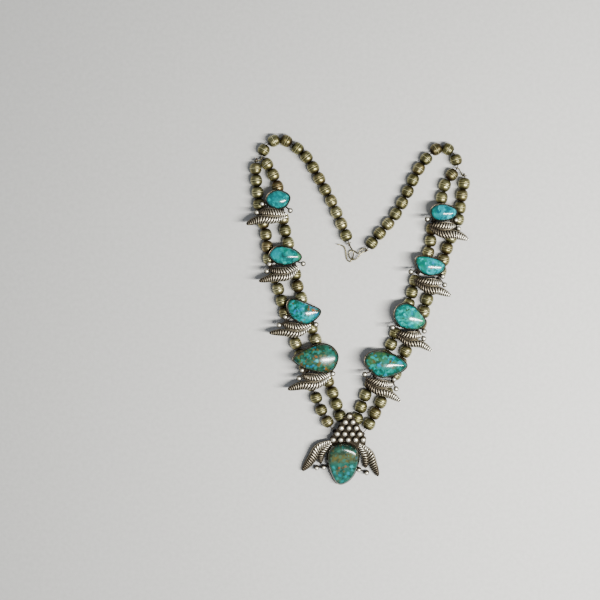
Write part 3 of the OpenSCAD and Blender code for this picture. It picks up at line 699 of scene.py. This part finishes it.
def bead_string(name, material):
    rng = random.Random(name)
    bm = bmesh.new()
    for trait in ("wear", "tone", "brown"):
        bm.verts.layers.float.new(trait)
    for number, (middle, axis) in enumerate(STRINGS[name]):
        front, rear = (spare_length(STRINGS[name], number, step) for step in (1, -1))
        scored = number in SCORED.get(name, ())
        blank, wear = SCORED_BLANK if scored else PLAIN_BLANK
        tone = rng.uniform(0.15, 0.85)
        brown = 0.45 if number in BROWN_BEADS.get(name, ()) else rng.choice((0, 0, 0.08, 0.2))
        roll = Matrix.Rotation(rng.uniform(0, 2 * math.pi), 3, "Z")
        lean = Matrix.Rotation(rng.uniform(-0.035, 0.035), 3, "X")
        turn = axis.to_track_quat("Z", "X").to_matrix() @ lean @ roll
        dents = []
        for _ in range(4):
            way = Vector((rng.uniform(-1, 1), rng.uniform(-1, 1), rng.uniform(-0.9, 0.9)))
            dents.append((way.normalized() * 4.0, rng.uniform(1.4, 2.6), rng.uniform(0.04, 0.13)))
        first = len(bm.verts)
        bm.from_mesh(blank)
        bm.verts.ensure_lookup_table()
        traits = bm.verts.layers.float
        wear_layer, tone_layer, brown_layer = (traits[k] for k in ("wear", "tone", "brown"))
        for v, worn in zip(bm.verts[first:], wear):
            v[wear_layer] = worn
            v[tone_layer] = tone
            v[brown_layer] = brown
            v.co.z += max(abs(v.co.z) - 1, 0) / 2.9 * (front if v.co.z > 0 else -rear)
            v.co = middle + turn @ dented(v.co, dents)
    as_object(name + "_domed", bm, material, "bead_silver", name)


BEAD_SILVER = bead_silver()
for string in STRINGS:
    bead_string(string, BEAD_SILVER)


# ---- Threads

THREAD_STEP = 0.24
PLY_R = THREAD_D * 0.26
PLY_OFFSET = THREAD_D * 0.24
TURNS_PER_MM = 0.55
KNOT_PLY_R = 0.34


def evenly(points, step):
    """Points at an even step along a line."""
    line = [Vector(p) for p in points]
    spots = [line[0]]
    spare = 0.0
    for a, b in zip(line, line[1:]):
        length = (b - a).length
        along = step - spare
        while along <= length:
            spots.append(a.lerp(b, along / length))
            along += step
        spare = length - (along - step)
    return spots


def plies(points, turns_per_mm, offset, count):
    """Lines that wind round a line that lies flat."""
    lines = [[] for _ in range(count)]
    run = 0.0
    for i, p in enumerate(points):
        ahead = points[min(i + 1, len(points) - 1)] - points[max(i - 1, 0)]
        side = Vector((0, 0, 1)).cross(ahead).normalized()
        up = ahead.cross(side).normalized()
        if i:
            run += (p - points[i - 1]).length
        for k, line in enumerate(lines):
            turn = 2 * math.pi * (run * turns_per_mm + k / count)
            line.append(p + offset * (math.cos(turn) * side + math.sin(turn) * up))
    return lines


def knot(bm, end, way):
    """A small tight knot past the end of a thread, with its cut tail."""
    way = way.normalized()
    line = [end + way * (0.95 + 0.9 * k / 40) for k in range(41)]
    for wound in plies(line, 2.4, 0.52, 1):
        add_wire(bm, wound, [KNOT_PLY_R] * len(wound), 6)
    tail = [end + way * t for t in (0.3, 0.9, 1.5, 1.95)]
    add_wire(bm, tail, [KNOT_PLY_R, 0.36, 0.3, 0.2], 6)


def twisted_thread(name, points, material):
    bm = bmesh.new()
    line = evenly([Vector((*p[:2], STRAND_Z)) for p in points], THREAD_STEP)
    for wound in plies(line, TURNS_PER_MM, PLY_OFFSET, 2):
        add_wire(bm, wound, [PLY_R] * len(wound), 6)
    knot(bm, line[0], line[0] - line[3])
    knot(bm, line[-1], line[-1] - line[-4])
    as_object(name + "_twisted", bm, material, "thread", name)


def through(string, backwards=False):
    """Points in and out of each bead of a string."""
    row = STRINGS[string]
    spots = [m + a * (HALF_LENGTH + 0.12) * s for m, a in row for s in (-1, 1)]
    return spots[::-1] if backwards else spots


def with_stops(spots, stops):
    """Adds the shanks' places to a line, where the line passes them."""
    line = list(spots)
    for stop in stops:
        spot = Vector((*stop, STRAND_Z))
        gaps = [(a - spot).length + (b - spot).length - (b - a).length
                for a, b in zip(line, line[1:])]
        line.insert(gaps.index(min(gaps)) + 1, spot)
    return line


WAXED_THREAD = waxed_thread()
INNER_STOPS, OUTER_STOPS = zip(*SHANKS)
BEHIND = dict(PENDANT_SHANKS)
twisted_thread("main_thread", [
    HOOK_RING, *through("neck_beads_left", True), LEFT_LINK[0][:2],
    *with_stops(through("inner_beads_left"), INNER_STOPS[:4]), BEHIND["inner_beads_left"],
    *MAIN_BRIDGE, BEHIND["inner_beads_right"],
    *with_stops(through("inner_beads_right", True), INNER_STOPS[4:]), RIGHT_LINK[0][:2],
    *through("neck_beads_right"), EYE_RING], WAXED_THREAD)
twisted_thread("outer_thread", [
    LEFT_LINK[1][:2], *with_stops(through("outer_beads_left"), OUTER_STOPS[:4]),
    BEHIND["outer_beads_left"], *OUTER_BRIDGE, BEHIND["outer_beads_right"],
    *with_stops(through("outer_beads_right", True), OUTER_STOPS[4:]), RIGHT_LINK[1][:2]],
    WAXED_THREAD)


# ---- Wire pieces

def add_ring(bm, place, way):
    """A ring of wire that stands round the strand."""
    middle = Vector((*place, STRAND_Z))
    way = Vector((*way, 0)).normalized()
    side = Vector((-way.y, way.x, 0))
    line = [middle + RING_R * (math.cos(t) * side + Vector((0, 0, math.sin(t))))
            for t in (2 * math.pi * k / 28 for k in range(28))]
    add_wire(bm, line, [LINK_WIRE_R] * len(line), closed=True)


def add_ball(bm, place, radius, stretch=(1, 1, 1), segments=20, rings=12):
    made = bmesh.ops.create_uvsphere(bm, u_segments=segments, v_segments=rings, radius=radius)
    bmesh.ops.scale(bm, vec=stretch, verts=made["verts"])
    bmesh.ops.translate(bm, vec=place, verts=made["verts"])
    return made["verts"]


def link(name, rings, material):
    """Two rings of wire, with a short wire from side to side."""
    bm = bmesh.new()
    rims = []
    for x, y, turn in rings:
        a = math.radians(turn)
        add_ring(bm, (x, y), (math.cos(a), math.sin(a)))
        rims.append(Vector((x - RING_R * math.sin(a), y + RING_R * math.cos(a), STRAND_Z)))
    line = [rims[0].lerp(rims[1], k / 8) for k in range(9)]
    add_wire(bm, line, [LINK_WIRE_R] * len(line))
    for rim in rims:
        add_ball(bm, rim, LINK_WIRE_R * 1.18, segments=14, rings=8)
    as_object(name + "_wire", bm, material, "clasp_silver", name)


def bent_wire(name, points, ring, way, thin_end, material):
    """A wire from its ring, drawn thinner over that many of its last points."""
    bm = bmesh.new()
    add_ring(bm, ring, way)
    line = spline(points, 9)
    n = len(line)
    radii = [CLASP_WIRE_R] * n
    for k in range(thin_end):
        radii[n - 1 - k] = CLASP_WIRE_R * (0.72 + 0.28 * k / thin_end)
    add_wire(bm, line, radii, 14)
    add_ball(bm, line[-1], radii[-1] * 1.06, segments=14, rings=8)
    add_ball(bm, line[0], CLASP_WIRE_R * 1.1, segments=14, rings=8)
    as_object(name + "_wire", bm, material, "clasp_silver", name)


WIRE_SILVER = wire_silver()
link("link_left", LEFT_LINK, WIRE_SILVER)
link("link_right", RIGHT_LINK, WIRE_SILVER)
bent_wire("clasp_hook", HOOK_WIRE, HOOK_RING, (0.3, -0.95), 12, WIRE_SILVER)
bent_wire("clasp_eye", EYE_WIRE, EYE_RING, (-0.62, -0.78), 0, WIRE_SILVER)


# ---- Stones, bezels and leaves

def stone_outline(node, matrix):
    """The lowest ring of a CAD stone, as an anticlockwise outline in its setting's plane."""
    back = matrix.inverted() @ TO_TABLES
    spots = [back @ v.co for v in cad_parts[node].data.vertices]
    floor = min(p.z for p in spots)
    ring = {(round(p.x, 2), round(p.y, 2)): p.xy for p in spots if p.z < floor + 0.02}
    ring = list(ring.values())
    middle = sum(ring, Vector((0, 0))) / len(ring)
    ring.sort(key=lambda p: math.atan2(p.y - middle.y, p.x - middle.x))
    kept = [ring[0]]
    for p in ring[1:]:
        if (p - kept[-1]).length > 0.1:
            kept.append(p)
    return kept, max(p.z for p in spots) - floor


# How far a dome draws in as it rises. The pendant's is flat on top, and the larger stones
# draw in a little less than the others.
CROWN = 1.15
LARGE_CROWN = 1.0
PENDANT_CROWN = 0.28
LARGE_STONES = (2, 3, 7)
# Slight unevenness of the domes
WAVE_SCALE = 0.12
WAVE_HEIGHT = 0.2
# Leaves: the pitch of the ribs along them, and the grid that they are shaped from
RIB_PITCH = 1.72
GRID_STEP = 0.2
GRID_ACROSS = 18
# Across a lobe, from -1 at its lip to 1 at its outer edge: the side and the top of the lip
# and the groove beside it, then the groove and the border of a rimmed lobe
LIP_SIDE = -0.92
LIP = -0.72
LIP_GROOVE = -0.6
BORDER_GROOVE = 0.74
BORDER = 0.84
# Along a lobe, from its stem at 0 to its tip at 1: the plain stem, where the border starts,
# and its groove and the border itself round the tip
STEM = 0.06
BORDER_START = 0.4
TIP_GROOVE = 0.93
TIP_BORDER = 0.955
# Tarnish of a bright lip or border, and painted shade at the dim ends of the leaves, where the
# light reaches them least
BRIGHT = 0.06
LEFT_PAINTED_SHADE = 0.25
RIGHT_PAINTED_SHADE = 0.4
PENDANT_PAINTED_SHADE = 0.34
# Heights of the backs, set apart so that no two of them lie in one plane
ARM_BACK = 0.04
CLUSTER_BACK = 0.08
ROUND_LOBE_BACK = 0.2
LONG_LOBE_BACK = 0.26


def oval_point(spoke, outline):
    """Where a spoke meets an oval as long and as wide as an outline."""
    a, b = ((max(p[k] for p in outline) - min(p[k] for p in outline)) / 2 for k in (0, 1))
    return spoke / math.hypot(spoke.x / a, spoke.y / b)


def cabochon(name, node, matrix, material, crown):
    """A polished stone with a short wall and a slightly uneven dome that rounds to an oval
    on top. Gives the stone's outline."""
    outline, height = stone_outline(node, matrix)
    outline = spline([p.to_3d() for p in outline], 2, closed=True)
    middle = sum(outline, Vector()) / len(outline)
    base = PLATE_T + STONE_GAP
    sections = [(0.99, 0.0), (1.0, 0.02), (1.0, 0.2), (1.0, 0.33)]
    for a in [math.radians(d) for d in (*range(8, 80, 8), 78, 83, 87, 89)]:
        sections.append((math.cos(a) ** crown, 0.34 + 0.66 * math.sin(a) ** 0.95))
    ovals = [oval_point(p - middle, outline) for p in outline]
    loops = [[middle + oval.lerp(p - middle, share) * share + Vector((0, 0, base + height * up))
              for p, oval in zip(outline, ovals)] for share, up in sections]
    bm, rim = mesh_with("rim")
    made = bridged(bm, loops)
    for (verts, _), (share, _) in zip(made, sections):
        marked(verts, rim, share)
    capped(bm, made[-1][0])
    bm.verts.ensure_lookup_table()
    peak = max(bm.verts, key=lambda v: (v.co.z, -abs(v.co.x - middle.x)))
    peak.co.z = base + height
    capped(bm, made[0][0])
    for v in bm.verts:
        rise = (v.co.z - base) / height
        if rise > 0.36:
            wave = noise.noise(matrix @ v.co * WAVE_SCALE) * WAVE_HEIGHT
            v.co.z = min(v.co.z + wave * (rise - 0.36), base + height)
    as_object(name, bm, material, "turquoise", node, matrix=matrix, crease=50)
    return outline


def bezel(bm, edge, outline):
    """A thin wall burnished over the stone, on a plate of the same outline."""
    def ring(d, z):
        return [Vector((p.x, p.y, z)) for p in grown([q.xy for q in outline], d)]

    walls = [(0.72, 0.0, 0.2), (0.72, 0.75, 0.25), (0.62, 0.95, 0.0), (0.62, 2.6, 0.35),
             (0.56, 3.02, 0.8), (0.4, BEZEL_H, 1.0), (0.2, 3.14, 0.75), (STONE_GAP, 2.95, 0.2),
             (STONE_GAP, PLATE_T, 0.0)]
    made = bridged(bm, [ring(d, z) for d, z, worn in walls])
    for (verts, _), (_, _, worn) in zip(made, walls):
        marked(verts, edge, worn)
    capped(bm, made[0][0])
    capped(bm, made[-1][0])


def course(points, reach=0.6):
    """The length of a smooth line through points, and a function that gives the place and
    the direction at a share of it."""
    line = spline(points, 12)
    runs = [0.0]
    for a, b in zip(line, line[1:]):
        runs.append(runs[-1] + (b - a).length)
    length = runs[-1]

    def spot(s):
        s = min(max(s, 0.0), length)
        i = min(bisect.bisect_right(runs, s), len(runs) - 1) - 1
        return line[i].lerp(line[i + 1], (s - runs[i]) / (runs[i + 1] - runs[i]))

    @functools.cache
    def at(share):
        s = share * length
        return spot(s), (spot(s + reach) - spot(s - reach)).normalized()

    return length, at


def lobe(bm, groove, row, widths, inner, rimmed, shaded_tip=True, dull=PENDANT_PAINTED_SHADE):
    """One lobe of a stamped leaf, with a plain lip along its inner side, towards the other
    lobe. Ribs run from the lip to the outer edge; a rimmed lobe has a plain raised border.
    Painted shade darkens it towards its tip, or else towards its stem, by as much as dull."""
    length, at = course([row[i:i + 2] for i in range(0, len(row) - 1, 2)])
    ribs = round(length / RIB_PITCH)
    pitch = length / ribs
    made = bmesh.ops.create_grid(bm, x_segments=round(length / GRID_STEP),
                                 y_segments=GRID_ACROSS, size=1.0)["verts"]
    for v in made:
        u, s = round((v.co.x + 1) / 2, 5), v.co.y
        spot, along = at(u)
        side = Vector((-along.y, along.x))
        share = lookup(widths, u)
        half = row[-1] * share
        out = s * inner
        reach = (out + 1) * half
        # ribs stand closer together at the stem and at the tip
        even = u + 0.2 * math.sin(2 * math.pi * u) / (2 * math.pi)
        lean = reach * (0.5 - 0.75 * u) + 0.04 * reach * reach
        ridge = 0.5 + 0.5 * math.cos(2 * math.pi * (ribs * even - lean / pitch))
        # How near this point lies to the lobe's lit end: painted shade grows away from it, and
        # the dark lines between ribs are drawn thinner towards it
        lit_end_share = 1 - u if shaded_tip else u
        plain = min(1.0, u / STEM)
        arch = 1 - (2 * u - 1) ** 2
        crown = 0.75 + 0.3 * arch + (0.8 * share + 0.5 * arch) * (1 - abs(s) ** 2.6)
        high = crown + (0.36 * ridge ** 0.8 - 0.2) * plain
        dark = (1 - ridge) ** (1.4 + 1.2 * lit_end_share) * plain
        if out > 0.6:
            dark *= 1 - 0.5 * (out - 0.6) / 0.4
        if out < LIP_SIDE:
            high, dark = crown - 0.25, 0.9
        elif out < LIP:
            high, dark = crown + 0.1, BRIGHT
        elif out < LIP_GROOVE:
            dark = max(dark, 0.45)
        if rimmed and u > BORDER_START:
            if out > BORDER or u > TIP_BORDER:
                high, dark = crown + 0.16, BRIGHT
            elif out > BORDER_GROOVE or u > TIP_GROOVE:
                high, dark = crown - 0.14, 0.7
        # Oxide in the grooves, plus painted shade towards the lobe's dim end
        v[groove] = min(1.0, dark + dull * (1 - lit_end_share) ** 1.4)
        v.co = (*(spot + side * half * s), high)
    rim = [e for e in bm.edges if e.is_boundary and e.verts[0] in set(made)]
    drawn = bmesh.ops.extrude_edge_only(bm, edges=rim)["geom"]
    low = [g for g in drawn if isinstance(g, bmesh.types.BMVert)]
    for v in low:
        v.co.z = ROUND_LOBE_BACK if rimmed else LONG_LOBE_BACK
        v[groove] = 0.85
    bmesh.ops.contextual_create(bm, geom=[g for g in drawn if isinstance(g, bmesh.types.BMEdge)])


def raindrop(bm, groove, place, diameter):
    """A silver ball, darkened low down by tarnish and painted shade, soldered on a low foot."""
    x, y = place
    for v in add_ball(bm, (x, y, PLATE_T + diameter * 0.35), diameter / 2, (1, 1, 0.94)):
        # Painted shade: the ball darkens from its top downwards, so that only the top stays
        # bright
        level = (v.co.z - PLATE_T) / diameter
        v[groove] = min(1.0, max(0.0, 1.24 - level * 1.58))
    foot = bmesh.ops.create_cone(bm, cap_ends=True, segments=20, radius1=diameter * 0.56,
                                 radius2=diameter * 0.36, depth=0.7)["verts"]
    bmesh.ops.translate(bm, vec=(x, y, PLATE_T - 0.05), verts=foot)
    marked(foot, groove, 0.55)


def arm(bm, edge, start, end):
    """A strip of the back plate from the stone's middle to a raindrop."""
    a, b = Vector(start), Vector(end)
    run = b - a
    long = run.length + ARM_W / 3
    made = bmesh.ops.create_cube(bm, size=1.0)["verts"]
    bmesh.ops.scale(bm, vec=(long, ARM_W, PLATE_T - ARM_BACK), verts=made)
    bmesh.ops.translate(bm, vec=(long / 2, 0, (PLATE_T + ARM_BACK) / 2), verts=made)
    bmesh.ops.rotate(bm, matrix=Matrix.Rotation(math.atan2(run.y, run.x), 3, "Z"), verts=made)
    bmesh.ops.translate(bm, vec=(*a, 0), verts=made)
    marked(made, edge, 0.1)


def shank(bm, edge, place, way, strand, top):
    """A hidden tube round the strand, at the strand's height, with a post up to its plate."""
    before = set(bm.verts)
    verts, edges = add_loop(bm, [(0.9, 0, -2.1), (1.5, 0, -2.1), (1.6, 0, -1.95), (1.6, 0, 1.95),
                                 (1.5, 0, 2.1), (0.9, 0, 2.1)])
    bmesh.ops.spin(bm, geom=verts + edges, cent=(0, 0, 0), axis=(0, 0, 1),
                   angle=2 * math.pi, steps=28, use_merge=True)
    tube = [v for v in bm.verts if v not in before]
    turn = Vector((*way, 0)).normalized().to_track_quat("Z", "X").to_matrix().to_4x4()
    bmesh.ops.transform(bm, matrix=Matrix.Translation((*place, strand)) @ turn, verts=tube)
    low = strand + 1.45
    post = bmesh.ops.create_cone(bm, cap_ends=True, segments=20, radius1=1.0, radius2=0.92,
                                 depth=top - low)["verts"]
    bmesh.ops.translate(bm, vec=(*place, (top + low) / 2), verts=post)
    marked(tube + post, edge, 0.15)


def strand_way(string, place):
    """The way the strand runs past a place, from the two beads nearest to it."""
    spot = Vector((*place, STRAND_Z))
    near = sorted((m for m, _ in STRINGS[string]), key=lambda m: (m - spot).length)[:2]
    return (near[1] - near[0]).xy


LEAF_SILVER = leaf_silver()
BEZEL_SILVER = bezel_silver()


def station(number):
    x, y = STATIONS[number]
    node = f"setting_{number + 1}"
    stone = f"stone_{number + 1}"
    place = Matrix.Translation((x, y, PLATE_Z))
    left = number < 4
    # dull is how strongly painted shade darkens the dim ends of this station's leaves
    side, inner, dull = ("left", -1, LEFT_PAINTED_SHADE) if left else ("right", 1, RIGHT_PAINTED_SHADE)
    finish = turquoise(f"turquoise_{number + 1}", (x, y), **STONE_FINISHES[number])
    crown = LARGE_CROWN if number in LARGE_STONES else CROWN
    outline = cabochon(stone + "_polished", stone, place, finish, crown)
    bm, edge = mesh_with("edge")
    bezel(bm, edge, outline)
    for drop in DROPS[number]:
        arm(bm, edge, (0, 0), drop)
    for spot, strand in zip(SHANKS[number], ("inner", "outer")):
        shank(bm, edge, (spot[0] - x, spot[1] - y), strand_way(f"{strand}_beads_{side}", spot),
              STRAND_Z - PLATE_Z, 0.1)
    as_object(f"bezel_{number + 1}", bm, BEZEL_SILVER, "leaf_silver", node, matrix=place)
    bm, groove = mesh_with("groove")
    lobe(bm, groove, LONG_LOBES[number], POINTED, -inner, False, left, dull)
    lobe(bm, groove, ROUND_LOBES[number], ROUNDED, inner, True, left, dull)
    for drop in DROPS[number]:
        raindrop(bm, groove, drop, DROP_D)
    as_object(f"leaves_{number + 1}", bm, LEAF_SILVER, "leaf_silver", node, matrix=place)


for number in range(8):
    station(number)


def pendant():
    place = Matrix.Translation(PENDANT_AT) @ Matrix.Rotation(PENDANT_TILT, 4, "X")
    middle = place @ Vector((*PENDANT_STONE_AT, 0))
    finish = turquoise("turquoise_pendant", middle.xy, **PENDANT_FINISH)
    outline = cabochon("pendant_stone_polished", "pendant_stone", place, finish, PENDANT_CROWN)
    bm, edge = mesh_with("edge")
    bezel(bm, edge, outline)
    for drop in PENDANT_DROPS:
        arm(bm, edge, PENDANT_STONE_AT, drop)
    cluster = [(CLUSTER_TOP[0] - 0.2 * row + (k - row / 2) * CLUSTER_PITCH,
                CLUSTER_TOP[1] - row * CLUSTER_ROW) for row in range(5) for k in range(row + 1)]
    top, left, right = (Vector(cluster[i]) for i in (0, 10, 14))
    corners = [top + Vector((-1.6, 1.6)), left + Vector((-2.2, 0)), left + Vector((-1.6, -7)),
               right + Vector((1.6, -7)), right + Vector((2.2, 0)), top + Vector((1.6, 1.6))]
    made = bridged(bm, [[(*p, z) for p in corners] for z in (CLUSTER_BACK, PLATE_T)])
    for verts, _ in made:
        bm.faces.new(verts)
        marked(verts, edge, 0.75)
    as_object("bezel_pendant", bm, BEZEL_SILVER, "leaf_silver", "pendant_setting", matrix=place)
    bm, edge = mesh_with("edge")
    for string, spot in PENDANT_SHANKS:
        last = STRINGS[string][-1][0].xy
        height = (spot[1] - PENDANT_AT.y) * math.tan(PENDANT_TILT) + 0.2
        shank(bm, edge, spot, Vector(spot) - last, STRAND_Z, height)
    as_object("pendant_shanks", bm, BEZEL_SILVER, "leaf_silver", "pendant_setting")
    bm, groove = mesh_with("groove")
    for row, inner in zip(PENDANT_LONG_LOBES, (1, -1)):
        lobe(bm, groove, row, POINTED, inner, False)
    for row, inner in zip(PENDANT_ROUND_LOBES, (-1, 1)):
        lobe(bm, groove, row, ROUNDED, inner, True)
    for drop in cluster:
        raindrop(bm, groove, drop, BIG_DROP_D)
    for drop in PENDANT_DROPS:
        raindrop(bm, groove, drop, DROP_D)
    as_object("leaves_pendant", bm, LEAF_SILVER, "leaf_silver", "pendant_setting", matrix=place)


pendant()


# ---- Floor

def floor_paper():
    f = Finish("pale_floor")
    grain = f.noise(0.35, 4, 0.6)
    return f.set(Base_Color=f.ramp(grain, (0.3, rgb(196, 196, 194)), (0.7, rgb(206, 206, 204))),
                 Roughness=0.85, Normal=f.bump(grain, 0.1, 0.0002))


bm = bmesh.new()
bmesh.ops.create_grid(bm, x_segments=1, y_segments=1, size=6.0)
mesh = bpy.data.meshes.new("floor")
bm.to_mesh(mesh)
bm.free()
mesh.materials.append(floor_paper())
floor = bpy.data.objects.new("floor", mesh)
bpy.context.scene.collection.objects.link(floor)
